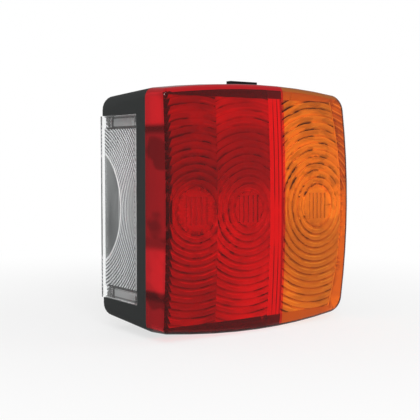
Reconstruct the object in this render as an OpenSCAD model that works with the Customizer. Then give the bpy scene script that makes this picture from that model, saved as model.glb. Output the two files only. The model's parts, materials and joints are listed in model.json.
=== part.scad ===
// Square rear lamp of a trailer: tail light, stop light, indicator and number plate light in one case.
// The back face lies in the plane y = 0 with the origin at its centre. The lens faces -Y and +Z is up.
// The window of the number plate light is in the side wall at -X.

/* [Case] */
// Width of the lamp at the lens rim
lamp_w = 104.1; // [100:0.1:110]
// Height of the lamp at its middle
lamp_h = 104; // [100:0.5:110]
// Depth of the housing from its back face to the lens rim
housing_d = 35.7; // [34.5:0.1:40]
// Depth of the whole lamp up to the crown of the lens
lamp_d = 50.7; // [50:0.1:56]
// Rise of the bowed top and bottom edges
top_bow = 3.6; // [2.5:0.1:4.5]
// Rise of the bowed edge opposite the window
side_bow = 3; // [2:0.1:4]
// Corner radius beside the window
window_corner_r = 4.2; // [3:0.1:5]
// Corner radius on the other side
outer_corner_r = 8; // [6:0.5:9]
// How much larger the corner radii are at the back than at the rim
corner_growth = 4; // [2:0.1:4.2]
// Draft angle of the housing walls
draft = 3; // [2:0.5:4]
// Wall thickness of the housing
housing_wall = 2.4; // [2:0.1:2.8]
// Thickness of the housing's back
back_t = 2.5; // [2:0.1:3]
// Width of the latch tab on top
latch_w = 14.5; // [8:0.5:20]
// Depth of the latch tab
latch_d = 3; // [2:0.1:4]
// Distance from the lens rim back to the latch tab
latch_back = 2; // [0.5:0.1:4]
// How far the latch tab stands out
latch_rise = 1.6; // [1:0.1:2.5]

/* [Lens] */
// Side wall thickness of the lens
lens_wall = 2.2; // [1.8:0.1:2.4]
// Front wall thickness of the lens at its crown
lens_front = 2.4; // [2.2:0.1:3]
// Crown radius of the lens across its width
crown_rx = 560; // [450:10:700]
// Crown radius of the lens over its height
crown_rz = 610; // [450:10:800]
// How far the crown's highest line lies from the lamp's middle towards the window
crown_shift = 15; // [10:0.5:20]
// Radius of the inner face of the lens
inner_r = 560; // [500:10:650]
// Rounding of the front edge
edge_r = 3.6; // [2.5:0.1:4.2]
// Rounding of the front edge at the window side
window_edge_r = 1; // [0.6:0.1:2]
// How far the side wall leans in towards the front
lens_lean = 0.5; // [0.2:0.1:0.8]
// Place of the colour joint between the stop bulb and the outer side, as a share
joint_share = 0.31; // [0.3:0.002:0.33]
// Thickness of the flange inside the lens rim
flange_t = 2; // [1.5:0.1:2.5]
// Width of the lens rim with its flange
flange_w = 4.6; // [4.2:0.1:4.8]
// Width of a snap hook
hook_w = 6; // [4:0.5:8]
// Thickness of a snap hook
hook_t = 1.2; // [1:0.1:1.5]
// Distance of the lower snap hooks from the middle
hook_x = 25; // [20:1:30]
// Height of a snap hook's tip
hook_tip_h = 1.6; // [1.2:0.1:2]
// How far a snap hook grips under the ledge
hook_bite = 0.8; // [0.5:0.1:1]
// Gap between a snap hook's shank and the ledge
hook_gap = 0.5; // [0.4:0.1:0.8]

/* [Lens optics] */
// Pitch of the prism rings
ring_pitch = 3; // [2.5:0.1:4]
// Depth of a prism ring
ring_depth = 1.2; // [0.8:0.1:1.4]
// Depth left at the foot of a prism ring
ring_foot = 0.3; // [0.2:0.05:0.4]
// Height left plain above and below the ring fields
field_end = 6.5; // [5:0.1:9]
// Width left plain between the ring field and the outer side
field_side = 6; // [5:0.1:8]
// Rise of that field's bowed outer side
field_bow = 6; // [4:0.5:7]
// Radius of the first ring before the tail bulb
tail_disc_r = 9.5; // [8:0.1:11]
// Radius of the first ring before the stop bulb
stop_disc_r = 7.3; // [7:0.1:9]
// Radius of the first ring before the indicator bulb
indicator_disc_r = 9.3; // [8:0.1:11]
// Distance from the tail bulb to the edge between the two red ring fields
field_split = 10; // [9.6:0.1:11]
// Width of the plain band beside the colour joint
plain_band_w = 7.7; // [6.5:0.1:9]
// Radius of a flute in the middle of a disc
flute_r = 1.1; // [0.9:0.05:1.15]
// Pitch of the flutes
flute_pitch = 2.5; // [2.4:0.1:2.8]
// Length of the flutes
flute_l = 11.2; // [9:0.1:12]
// Number of flutes on a disc
flutes = 4; // [3:1:4]

/* [Plate window] */
// Height of the wall above and below the plate window
window_end = 13.4; // [12:0.1:17]
// Depth of the plate window from the back face
window_d = 28.5; // [26:0.1:29]
// Thickness of the plate window
window_t = 2; // [1.8:0.1:2.2]
// How far the window lies behind the wall's face
window_recess = 0.3; // [0.2:0.05:0.5]
// Width of the tongue that runs in the housing's groove
tongue_w = 1.2; // [0.8:0.1:1.5]
// Thickness of that tongue
tongue_t = 0.9; // [0.7:0.1:1]
// How far the rear flange stands out
rear_flange_rise = 1; // [0.6:0.1:1.5]
// Thickness of the rear flange
rear_flange_t = 1.2; // [1:0.1:1.6]
// Width of the rim along the window's front edge
window_rim = 1.3; // [1:0.1:1.6]
// Height of the plain end above and below the window's fine rings
window_end_h = 5.6; // [5:0.1:8]
// Radius of the plain disc in the window
window_disc_r = 26.6; // [22:0.1:28]
// How far behind the back face that disc has its centre
window_disc_back = 13; // [11:0.5:15]
// Pitch of the window's fine rings
window_pitch = 1; // [0.9:0.1:1.6]
// Depth of the window's fine rings
window_ring_depth = 0.5; // [0.3:0.05:0.6]
// Width of the raised bar at each end of the window
bar_w = 3.3; // [2.5:0.1:3.6]
// Length of the raised bar
bar_l = 18; // [14:0.5:20]
// How far the raised bar stands out of the window
bar_rise = 0.5; // [0.3:0.1:0.8]
// Distance from the raised bar to the window's front rim
bar_gap = 1; // [0.5:0.1:1.5]
// Height of the square pocket at each end of the window
pocket_h = 4.4; // [3:0.1:5]
// Length of that pocket along the window
pocket_l = 5.4; // [4:0.1:5.6]
// Depth of that pocket
pocket_t = 0.7; // [0.4:0.1:1]

/* [Seal] */
// Height of the pressed seal
seal_h = 2; // [1.5:0.1:2.5]
// Width of the seal
seal_w = 1.8; // [1.5:0.1:1.9]
// Thickness of the ledge under the seal
ledge_t = 2; // [1.5:0.1:2.5]
// Width of the rim with that ledge
ledge_w = 5; // [4.8:0.1:5.2]

/* [Bulb carrier] */
// Height of the carrier's back above the lamp's back face
carrier_z = 8; // [7.8:0.1:9]
// Thickness of the carrier
carrier_t = 1.6; // [1.4:0.1:2]
// Thickness of the wall between the stop light and the indicator
partition_t = 1.6; // [1.2:0.1:2]
// Size of the wire notch in that wall
notch_w = 6; // [4:0.5:8]
// Gap between the carrier and the ledge's inner edge
carrier_gap = 0.4; // [0.3:0.1:0.8]
// Gap between the wall beside the indicator and the lens
partition_gap = 0.4; // [0.3:0.1:1]
// Diameter of the carrier's hole for the wires
wire_hole_d = 9; // [8:0.5:10]
// Distance of the carrier's posts from the lamp's sides
post_side = 11; // [10.6:0.1:13]
// Distance of the carrier's posts from the lamp's top and bottom
post_end = 12; // [11:0.1:12.5]
// Diameter of a post
post_d = 7; // [6:0.1:7.5]
// Diameter of the carrier's screws
carrier_screw_d = 3; // [2.5:0.1:3.2]
// Length of those screws under the head
carrier_screw_l = 6.4; // [5:0.1:6.6]

/* [Bulbs] */
// Distance from the window side to the tail bulb
tail_side = 16; // [15:0.1:17]
// Distance between the tail bulb and the stop bulb
bulb_pitch = 26.2; // [25:0.1:27]
// Place of the indicator bulb between the stop bulb and the outer side, as a share
indicator_share = 0.656; // [0.63:0.002:0.67]
// Gap between the lamp's lower edge and the feet of the contacts
foot_gap = 8.1; // [7:0.1:9]
// Height of the bulb axes above the lamp's back face
bulb_z = 25; // [24:0.1:26]
// Glass diameter of the tail bulb
tail_glass_d = 19; // [16:0.5:19]
// Glass diameter of the stop bulb and the indicator bulb
stop_glass_d = 25; // [22:0.5:26]
// Distance from the pins to the filament in the tail bulb
tail_light_l = 19; // [19:0.1:20]
// Distance from the pins to the filament in the other bulbs
stop_light_l = 31.8; // [31.4:0.1:31.8]
// Diameter of a bulb cap
cap_d = 15; // [14.8:0.1:15.2]
// Wall thickness of a bulb cap
cap_wall = 0.5; // [0.4:0.05:0.7]
// Distance from a cap's pins to its foot
cap_foot = 6.8; // [6:0.1:7]
// Distance from a cap's pins to its rim
cap_rise = 8.6; // [7.5:0.1:9]
// Diameter of the cap's two pins
pin_d = 2; // [1.8:0.1:2.2]
// Distance over the cap's two pins
pin_span = 17.4; // [17:0.1:17.6]
// Height of the solder tip under the cap
tip_h = 1.5; // [1:0.1:1.6]
// Wall thickness of the glass
glass_wall = 0.7; // [0.6:0.1:1]
// Thickness of a filament's support wire
wire_d = 0.6; // [0.4:0.1:0.8]
// Diameter of a filament's coil
coil_d = 1; // [0.8:0.1:1.2]
// Length of a filament's coil
coil_l = 6; // [4:0.5:7]
// Distance between a filament's two support wires
lead_span = 3.6; // [3:0.1:3.8]
// Height of the glass stem as a share of the bulb's length
stem_share = 0.55; // [0.4:0.05:0.6]
// How far the ball of the tail bulb lies above its filament
tail_ball_rise = 1.7; // [1:0.1:2]
// How far the ball of the other bulbs lies above the filament
stop_ball_rise = 0; // [0:0.1:1]
// Angle under the ball's middle at which its neck starts
neck_angle = 40; // [35:1:45]

/* [Holders and contacts] */
// Gap all round between a bulb cap and its holder
cap_gap = 0.15; // [0.1:0.05:0.25]
// Sheet thickness of a bulb holder
holder_t = 0.7; // [0.6:0.05:0.9]
// Height of a holder's sleeve
holder_h = 13.6; // [12:0.1:14.5]
// Distance from the bulb's pins to the sleeve's foot
holder_foot = 7.8; // [7.4:0.1:7.9]
// Width of a holder's foot plate
foot_w = 12; // [11:0.1:12.2]
// Height of a holder's foot plate
foot_h = 14; // [12:0.1:15]
// Sheet thickness of the contact springs
contact_t = 0.8; // [0.6:0.05:0.9]
// Width of the spring arm under the bulb
arm_w = 6; // [5:0.1:7]
// Height of a contact's foot
leg_h = 3; // [2.8:0.1:3.4]
// Width of a contact's terminal pad
pad_w = 6.6; // [6:0.1:6.8]
// Height of the terminal pad above the spring arm
pad_rise = 17.4; // [17:0.1:18.5]
// Distance from the bulb's axis to the middle of the pad
pad_x = 13.2; // [12.8:0.1:13.4]
// Diameter of the holder rivets
rivet_d = 3; // [2.5:0.1:3.2]
// Head diameter of the holder rivets
rivet_head_d = 5; // [4.5:0.1:5.2]
// Distance between a holder's two rivets
rivet_span = 6.4; // [6:0.1:6.6]
// Head height of the holder rivets
rivet_head_h = 1; // [0.6:0.1:1.2]
// Diameter of the contact rivets
small_rivet_d = 1.6; // [1.4:0.1:1.8]
// Head diameter of the contact rivets
small_head_d = 2.6; // [2.4:0.1:2.8]
// Head height of the contact rivets
small_head_h = 0.6; // [0.4:0.1:0.8]
// Thickness of the earth strip
earth_t = 0.8; // [0.6:0.05:0.9]
// Width of the earth strip
earth_w = 6; // [5.6:0.1:6.4]
// Gap between the indicator's holder and the head of the earth screw
earth_gap = 0.4; // [0.3:0.1:1]
// Diameter of the terminal screws
terminal_d = 3; // [2.5:0.1:3]
// Head diameter of all small screws
screw_head_d = 5.4; // [5:0.1:5.6]
// Head height of all small screws
screw_head_h = 1.8; // [1.4:0.1:2.2]
// Length of the terminal screws under the head
terminal_l = 4.2; // [4:0.1:4.8]

/* [Mounting] */
// Distance between the two mounting bolts
bolt_span = 52; // [48:0.5:56]
// Thread diameter of the mounting bolts
bolt_d = 5; // [4:0.5:5]
// Diameter of the bolts' neck in the housing's back
bolt_neck_d = 5.6; // [5.5:0.1:6.4]
// Width across flats of the bolt heads
bolt_head_w = 8; // [7.8:0.1:8.4]
// Height of the bolt heads
bolt_head_h = 3.5; // [3:0.1:4]
// Length of the bolts under the head
bolt_l = 25; // [20:1:35]
// Height of the sockets that hold the bolt heads
bolt_socket_h = 3; // [2:0.1:3.5]
// Wall thickness of those sockets
bolt_socket_wall = 2.2; // [1.6:0.1:2.6]
// Distance from the lamp's top to the cable inlet
inlet_top = 24; // [22:0.5:28]
// Bore of the cable grommet
inlet_bore_d = 6; // [5:0.1:7]
// Neck diameter of the cable grommet
inlet_neck_d = 10; // [9.5:0.1:11]
// Flange diameter of the cable grommet
inlet_flange_d = 15; // [14:0.1:16]
// Flange thickness of the cable grommet
inlet_flange_t = 1.5; // [1.2:0.1:1.8]
// Diameter of the grommet behind the lamp
inlet_back_d = 13; // [12:0.5:14]
// Wall thickness of the grommet's nose
inlet_nose_wall = 1.5; // [1.2:0.1:1.8]
// Length of the grommet's nose behind the lamp
inlet_nose_l = 8; // [6:0.5:10]

/* [Hidden] */
$fn = 72;
// Longer than any dimension of the lamp, for cutting tools
far = 200;
// Reach of a cutting tool past the surface that it cuts
cut = 10;
// Length of the drills for the fasteners, which open the sleeves of the holders for the rivet tool too
drill_l = 50;
// Overlap of two pieces that are joined into one
lap = 0.3;
// Clearance of plugged and slid fits
gap = 0.15;
// Clearance of a hole around a rivet, screw or bolt
hole_gap = 0.1;
// Steps along a bowed edge, around a corner and over the front edge
bow_steps = 8;
corner_steps = 6;
edge_steps = 4;
// Steps over the ball of a bulb
ball_steps = 18;
// Smallest corner radius that an inner outline keeps
least_corner_r = 1;
half_w = lamp_w / 2;
half_h = lamp_h / 2;
tail_x = tail_side - half_w;
stop_x = tail_x + bulb_pitch;
colour_joint_x = stop_x + joint_share * (half_w - stop_x);
indicator_x = stop_x + indicator_share * (half_w - stop_x);
red_field_x = tail_x + field_split;
stop_field_x = colour_joint_x - plain_band_w;
indicator_field_x = half_w - field_side;
field_h = lamp_h - 2 * field_end;
window_h = lamp_h - 2 * window_end;
window_field_h = window_h - 2 * window_end_h;
post_x = half_w - post_side;
post_y = half_h - post_end;
inlet_y = half_h - inlet_top;
// Height of the filaments, with the contacts' feet at their gap above the lower edge
light_y = foot_gap - half_h + stop_light_l + cap_foot + tip_h + contact_t + leg_h;
earth_x = indicator_x + (foot_w + screw_head_d) / 2 + earth_gap;
top_r = (half_w * half_w + top_bow * top_bow) / (2 * top_bow);
side_r = (half_h * half_h + side_bow * side_bow) / (2 * side_bow);
top_cy = half_h - top_r;
side_cx = half_w - side_r;
ledge_z = housing_d - seal_h - ledge_t;
carrier_front = carrier_z + carrier_t;
carrier_inset = ledge_w + carrier_gap;
inner_z = lamp_d - lens_front - inner_r;
field_bow_r = field_h * field_h / (8 * field_bow) + field_bow / 2;
holder_r = cap_d / 2 + cap_gap;
hook_inset = ledge_w + hook_gap;
window_field_d = window_d - window_rim;
earth_y = light_y - stop_light_l - holder_foot + foot_h / 2;
// Distance from a bulb's axis to its contact's rivet, clear of the spring arm
small_rivet_x = (arm_w + small_head_d) / 2 + 2 * gap;
// Width of a head's top as a share of the head, on a rivet and on a screw
rivet_top = 0.7;
screw_top = 0.8;
// Length of a screw's cross slot as a share of the head's width, and its width as a share of the head's height
slot_l_share = 0.6;
slot_w_share = 0.3;
// Depth left at the foot of the window's fine rings
window_ring_foot = 0.05;
// Each light's place across the lamp, the distance from its filament to the pins and the side of its terminal
LIGHTS = [[tail_x, tail_light_l, 1], [stop_x, stop_light_l, 1], [indicator_x, stop_light_l, -1]];

// The case is modelled lying on its back, with its front upwards, and this stands it up
module placed() {
    rotate([90, 0, 0]) children();
}

function arc(c, r, from, to, steps) =
    [for (i = [0 : steps - 1]) let (a = from + (to - from) * i / steps) c + r * [cos(a), sin(a)]];

// Centre of the corner where the bowed top edge meets the bowed side edge, both of them inset
function outer_corner(inset, r) =
    let (
        ra = top_r - inset - r,
        rb = side_r - inset - r,
        span = norm([side_cx, top_cy]),
        u = [side_cx, -top_cy] / span,
        t = (ra * ra - rb * rb + span * span) / (2 * span),
        h = sqrt(ra * ra - t * t)
    )
    [u[0] * t + u[1] * h, top_cy + u[1] * t - u[0] * h];

function window_corner(inset, r) =
    let (x = -half_w + inset + r)
    [x, top_cy + sqrt(pow(top_r - inset - r, 2) - x * x)];

// Outline of the lamp seen from the front, moved in by the inset: bowed on three sides, straight at the window.
// The growth makes the corner radii larger.
function outline(inset, growth = 0) =
    let (
        ro = max(outer_corner_r + growth - inset, least_corner_r),
        rw = max(window_corner_r + growth - inset, least_corner_r),
        o = outer_corner(inset, ro),
        w = window_corner(inset, rw),
        side = atan2(o[1], o[0] - side_cx),
        top = atan2(o[1] - top_cy, o[0]),
        turn = atan2(w[1] - top_cy, w[0])
    )
    concat(
        arc([side_cx, 0], side_r - inset, -side, side, bow_steps),
        arc(o, ro, side, top, corner_steps),
        arc([0, top_cy], top_r - inset, top, turn, bow_steps),
        arc(w, rw, turn, 180, corner_steps),
        [for (i = [0 : bow_steps - 1]) [-half_w + inset, w[1] * (1 - 2 * i / bow_steps)]],
        arc([w[0], -w[1]], rw, 180, 360 - turn, corner_steps),
        arc([0, -top_cy], top_r - inset, 360 - turn, 360 - top, bow_steps),
        arc([o[0], -o[1]], ro, 360 - top, 360 - side, corner_steps)
    );

// Height of the top edge at a place across the lamp
function edge_y(x, inset) = top_cy + sqrt(pow(top_r - inset, 2) - x * x);

function raised(points, z) = [for (p = points) [p[0], p[1], z]];

// Skin through rings of points, the first one flat, closed by a tip over the last one
module loft(rings, tip) {
    n = len(rings[0]);
    last = (len(rings) - 1) * n;
    points = concat([for (ring = rings) each ring], [tip]);
    faces = concat(
        [[for (i = [0 : n - 1]) i]],
        [for (k = [0 : len(rings) - 2], i = [0 : n - 1])
            each [
                [k * n + i, k * n + n + i, k * n + n + (i + 1) % n],
                [k * n + i, k * n + n + (i + 1) % n, k * n + (i + 1) % n]
            ]],
        [for (i = [0 : n - 1]) [last + i, last + n, last + (i + 1) % n]]
    );
    polyhedron(points = points, faces = faces);
}

module slab(from, to, inset) {
    translate([0, 0, from]) linear_extrude(to - from) polygon(outline(inset));
}

// Case wall drafted from its rim to a depth, at an inset from the outer face
module drafted(from, to, inset) {
    loft(
        [for (z = [from, to])
            raised(outline(inset + (housing_d - z) * tan(draft), corner_growth * (1 - z / housing_d)), z)],
        [0, 0, to]
    );
}

// Frame of the window wall: x runs inwards from the wall's face, z forwards along the wall from the back
module on_window_wall() {
    translate([-half_w + housing_d * tan(draft), 0, 0]) rotate([0, -draft, 0]) children();
}

// A block centred on the height of the lamp
module block(x, w, h, z, d) {
    translate([x, -h / 2, z]) cube([w, h, d]);
}

module housing() {
    color([0.2, 0.21, 0.21]) placed() difference() {
        union() {
            difference() {
                drafted(0, housing_d, 0);
                difference() {
                    drafted(back_t, housing_d + 1, housing_wall);
                    ledge();
                }
            }
            latch_tab();
            carrier_posts();
            bolt_sockets();
        }
        window_opening();
        bolt_holes();
        translate([0, inlet_y, -1]) cylinder(d = inlet_neck_d + 2 * hole_gap, h = back_t + 2);
        for (s = [-1, 1]) translate([s * post_x, s * post_y, back_t])
            cylinder(d = carrier_screw_d, h = carrier_z);
    }
}

// Shelf inside the rim that carries the seal
module ledge() {
    difference() {
        slab(ledge_z, ledge_z + ledge_t, housing_wall - lap);
        slab(ledge_z - 1, ledge_z + ledge_t + 1, ledge_w);
    }
}

module latch_tab() {
    translate([-latch_w / 2, half_h - housing_wall / 2, housing_d - latch_back - latch_d])
        cube([latch_w, housing_wall / 2 + latch_rise, latch_d]);
}

module carrier_posts() {
    places = [[-post_x, post_y], [post_x, post_y], [-post_x, -post_y], [colour_joint_x, -post_y]];
    for (p = places) translate([p[0], p[1], back_t - lap])
        cylinder(d = post_d, h = carrier_z - back_t + lap);
}

module bolt_sockets() {
    for (x = [-bolt_span / 2, bolt_span / 2]) translate([x, 0, back_t - lap])
        cylinder(d = bolt_head_w / cos(30) + 2 * bolt_socket_wall, h = bolt_socket_h + lap);
}

module bolt_holes() {
    for (x = [-bolt_span / 2, bolt_span / 2]) translate([x, 0, 0]) {
        translate([0, 0, -1]) cylinder(d = bolt_neck_d + 2 * hole_gap, h = back_t + 2);
        translate([0, 0, back_t]) cylinder(d = (bolt_head_w + 2 * gap) / cos(30), h = bolt_socket_h + 1, $fn = 6);
    }
}

// Notch for the plate window, open to the back, with the groove for its tongue
module window_opening() {
    on_window_wall() {
        block(-cut, cut + window_recess + window_t + gap, window_h + 2 * gap, -1, window_d + gap + 1);
        block(
            tongue_x() - gap / 2, tongue_t + gap, window_h + 2 * tongue_w + 2 * gap,
            -1, window_d + tongue_w + gap + 1
        );
    }
}

function tongue_x() = window_recess + (window_t - tongue_t) / 2;

module plate_window() {
    color([0.93, 0.94, 0.95, 0.6]) placed() on_window_wall() {
        difference() {
            union() {
                block(window_recess, window_t, window_h, gap, window_d - gap);
                block(tongue_x(), tongue_t, window_h + 2 * tongue_w, gap, window_d + tongue_w - gap);
                block(-rear_flange_rise, rear_flange_rise + window_recess + lap, window_h, gap, rear_flange_t);
                block(0, window_recess + lap, window_h, window_d - window_rim, window_rim);
                window_ends() translate([-bar_rise, 0, 0])
                    block(0, bar_rise + lap, bar_w, window_field_d - bar_l - bar_gap, bar_l);
                window_rings();
            }
            window_ends() block(-1, 1 + pocket_t, pocket_h, rear_flange_t, pocket_l);
        }
    }
}

// The window's two plain ends, above and below its rings
module window_ends() {
    for (s = [-1, 1]) translate([window_recess, s * (window_field_h + window_h) / 4, 0]) children();
}

// Fine prism rings on the window's inner face, around a centre that lies behind the lamp
module window_rings() {
    reach = norm([window_disc_back + window_field_d, window_field_h / 2]);
    count = ceil((reach - window_disc_r) / window_pitch);
    face = window_recess + window_t;
    intersection() {
        translate([0, 0, -window_disc_back]) rotate([0, 90, 0]) rotate_extrude($fn = 180) polygon(concat(
            [[window_disc_r, face - lap]],
            [for (k = [0 : count - 1]) let (r = window_disc_r + k * window_pitch)
                each [[r, face + window_ring_depth], [r + window_pitch, face + window_ring_foot]]],
            [[window_disc_r + count * window_pitch, face - lap]]
        ));
        block(0, cut, window_field_h, back_t + 2 * gap, window_field_d - back_t - 2 * gap);
    }
}

// Depth of the crowned front at a point of the outline
function crown(p) = lamp_d - pow(p[0] + crown_shift, 2) / (2 * crown_rx) - p[1] * p[1] / (2 * crown_rz);

// Rounding of the front edge at a point of the rim, which runs out around the window's corners
function rounding(p) =
    window_edge_r + (edge_r - window_edge_r) * min((p[0] + half_w) / window_corner_r, 1);

// Outline on the front edge, moved in from the side wall by a share of that rounding
function edge_outline(share) =
    let (rim = outline(0), outer = outline(lens_lean), inner = outline(lens_lean + edge_r))
    [for (i = [0 : len(rim) - 1]) outer[i] + (inner[i] - outer[i]) * share * rounding(rim[i]) / edge_r];

// Ring of the rounded front edge at a share of its quarter turn, which follows the crown inside that edge
function edge_ring(share) =
    let (
        a = 90 * share,
        rim = outline(0),
        inner = edge_outline(1),
        outer = edge_outline(1 - cos(a))
    )
    [for (i = [0 : len(rim) - 1]) [outer[i][0], outer[i][1], crown(inner[i]) - rounding(rim[i]) * (1 - sin(a))]];

function crown_ring(share) = [for (p = share * edge_outline(1)) [p[0], p[1], crown(p)]];

module lens_skin() {
    loft(
        concat(
            [raised(outline(0), housing_d)],
            [for (k = [0 : edge_steps]) edge_ring(k / edge_steps)],
            [for (share = [0.86, 0.7, 0.5, 0.3, 0.12]) crown_ring(share)]
        ),
        [0, 0, crown([0, 0])]
    );
}

// Centre of the sphere of the lens's inner face
module inner_centre() {
    translate([-crown_shift, 0, inner_z]) children();
}

// Height of the lens's inner face above the centre of its sphere, at a distance from a zone's axis
function inner_h(r) = sqrt(inner_r * inner_r - r * r);

// Prism rings and flutes of one light, on the inner face of the lens around the axis at x
module zone_optics(x, disc_r, x0, x1) {
    reach = norm([max(x - x0, x1 - x), field_h / 2 + abs(light_y)]) + ring_pitch;
    count = ceil((reach - disc_r) / ring_pitch);
    radii = [for (k = [0 : count]) disc_r + k * ring_pitch];
    intersection() {
        inner_centre() rotate([-asin(light_y / inner_r), asin((x + crown_shift) / inner_r), 0]) {
            rotate_extrude($fn = 180) polygon(concat(
                [[0, inner_h(0) + 1], [0, inner_h(0) - ring_depth / 2]],
                [[disc_r, inner_h(disc_r) - ring_depth / 2]],
                [for (k = [0 : count - 1])
                    each [
                        [radii[k], inner_h(radii[k]) - ring_depth],
                        [radii[k + 1], inner_h(radii[k + 1]) - ring_foot]
                    ]],
                [for (k = [count : -1 : 0]) [radii[k], inner_h(radii[k]) + 1]]
            ));
            for (i = [0 : flutes - 1])
                translate([(i - (flutes - 1) / 2) * flute_pitch, 0, inner_h(0) - ring_depth / 2])
                    rotate([90, 0, 0]) cylinder(r = flute_r, h = flute_l, center = true);
        }
        translate([x0, -field_h / 2, housing_d + flange_t]) cube([x1 - x0, field_h, far]);
    }
}

// Hollow of the lens without its optics
module lens_hollow() {
    slab(housing_d - 1, housing_d + flange_t, flange_w);
    intersection() {
        slab(housing_d + flange_t - lap, lamp_d, lens_wall);
        inner_centre() sphere(inner_r, $fn = 256);
        translate([-far / 2, -far / 2, housing_d + flange_t]) cube([far, far, far]);
    }
}

// Snap hook that grips under the ledge, at x on the top edge
module snap_hook(x) {
    y = edge_y(x, hook_inset);
    translate([x - hook_w / 2, 0, 0]) rotate([90, 0, 90]) linear_extrude(hook_w) polygon([
        [y - hook_t, ledge_z - hook_tip_h],
        [y, ledge_z - hook_tip_h],
        [y + hook_bite, ledge_z - gap],
        [y, ledge_z - gap],
        [y, housing_d],
        [y + hook_t, housing_d],
        [y + hook_t, housing_d + flange_t],
        [y - hook_t, housing_d + flange_t]
    ]);
}

module lens_red() {
    color([0.8, 0.05, 0.08, 0.8]) placed() union() {
        intersection() {
            difference() {
                lens_skin();
                difference() {
                    lens_hollow();
                    zone_optics(tail_x, tail_disc_r, -half_w, red_field_x);
                    zone_optics(stop_x, stop_disc_r, red_field_x, stop_field_x);
                }
            }
            translate([-far / 2, -far / 2, 0]) cube([far / 2 + colour_joint_x, far, far]);
        }
        snap_hook(0);
        mirror([0, 1, 0]) snap_hook(-hook_x);
    }
}

module lens_amber() {
    color([0.9, 0.45, 0.1, 0.8]) placed() union() {
        intersection() {
            difference() {
                lens_skin();
                difference() {
                    lens_hollow();
                    intersection() {
                        zone_optics(indicator_x, indicator_disc_r, colour_joint_x, indicator_field_x);
                        translate([indicator_field_x - field_bow_r, 0, 0]) cylinder(r = field_bow_r, h = far);
                    }
                }
            }
            translate([colour_joint_x, -far / 2, 0]) cube([far, far, far]);
        }
        mirror([0, 1, 0]) snap_hook(hook_x);
    }
}

module lens_seal() {
    color([0.1, 0.1, 0.1]) placed() difference() {
        slab(housing_d - seal_h, housing_d, flange_w - seal_w);
        slab(housing_d - seal_h - 1, housing_d + 1, flange_w);
    }
}

module bulb_carrier() {
    color([0.85, 0.85, 0.83]) placed() difference() {
        union() {
            slab(carrier_z, carrier_front, carrier_inset);
            partition();
        }
        for (s = [-1, 1]) translate([s * post_x, s * post_y, 0])
            cylinder(d = carrier_screw_d + 2 * hole_gap, h = drill_l);
        holder_rivet_places() cylinder(d = rivet_d + 2 * hole_gap, h = drill_l, center = true);
        contact_rivet_places() cylinder(d = small_rivet_d + 2 * hole_gap, h = drill_l, center = true);
        terminal_places() cylinder(d = terminal_d + 2 * hole_gap, h = drill_l, center = true);
        translate([0, inlet_y, 0]) cylinder(d = wire_hole_d, h = drill_l);
        translate([colour_joint_x - partition_t, inlet_y - notch_w / 2, carrier_front])
            cube([2 * partition_t, notch_w, notch_w]);
    }
}

// Wall between the red lights and the indicator, which ends short of the lens
module partition() {
    intersection() {
        slab(carrier_z + lap, lamp_d, carrier_inset);
        translate([colour_joint_x - partition_t / 2, -far / 2, 0]) cube([partition_t, far, far]);
        inner_centre() sphere(inner_r - ring_depth - partition_gap, $fn = 256);
    }
}

// Places of the fasteners, in the plane of the carrier's front
module holder_rivet_places() {
    for (b = LIGHTS, s = [-1, 1])
        translate([b[0] + s * rivet_span / 2, light_y - b[1] - holder_foot + foot_h / 2, carrier_front]) children();
}

module contact_rivet_places() {
    for (b = LIGHTS)
        translate([b[0] - b[2] * small_rivet_x, arm_y(b[1]) - contact_t - leg_h / 2, carrier_front]) children();
}

module pad_places() {
    for (b = LIGHTS)
        translate([b[0] + b[2] * pad_x, arm_y(b[1]) + pad_rise - pad_w / 2, carrier_front]) children();
}

module earth_terminal_place() {
    translate([earth_x, earth_y, carrier_front]) children();
}

module terminal_places() {
    pad_places() children();
    earth_terminal_place() children();
}

// Height of a solder tip's end, for a bulb whose pins lie this far under its filament
function arm_y(light_l) = light_y - light_l - cap_foot - tip_h;

// Stamped holder: a sleeve with two bayonet slots on a foot plate against the carrier
module holder(x, light_l) {
    foot_y = light_y - light_l - holder_foot;
    color([0.7, 0.71, 0.72]) placed() difference() {
        union() {
            translate([x, foot_y, bulb_z]) rotate([-90, 0, 0]) difference() {
                cylinder(r = holder_r + holder_t, h = holder_h);
                translate([0, 0, -1]) cylinder(r = holder_r, h = holder_h + 2);
                bayonet_slots();
            }
            translate([x - foot_w / 2, foot_y, carrier_front]) cube([foot_w, foot_h, holder_t]);
            difference() {
                translate([x - foot_w / 2, foot_y, carrier_front]) cube([foot_w, holder_t, bulb_z - carrier_front]);
                translate([x, foot_y - 1, bulb_z]) rotate([-90, 0, 0]) cylinder(r = holder_r, h = holder_t + 2);
            }
        }
        holder_rivet_places() cylinder(d = rivet_d + 2 * hole_gap, h = drill_l, center = true);
    }
}

// Slots from the sleeve's top edge down to the pins, each with a short turn at its end
module bayonet_slots() {
    w = pin_d + 2 * gap;
    pin_h = holder_foot;
    for (turn = [0, 180]) rotate([0, 0, turn]) {
        translate([0, -w / 2, pin_h - w / 2]) cube([2 * holder_r, w, holder_h]);
        translate([0, -w / 2, pin_h - w / 2]) cube([2 * holder_r, 2 * w, w]);
    }
}

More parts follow.
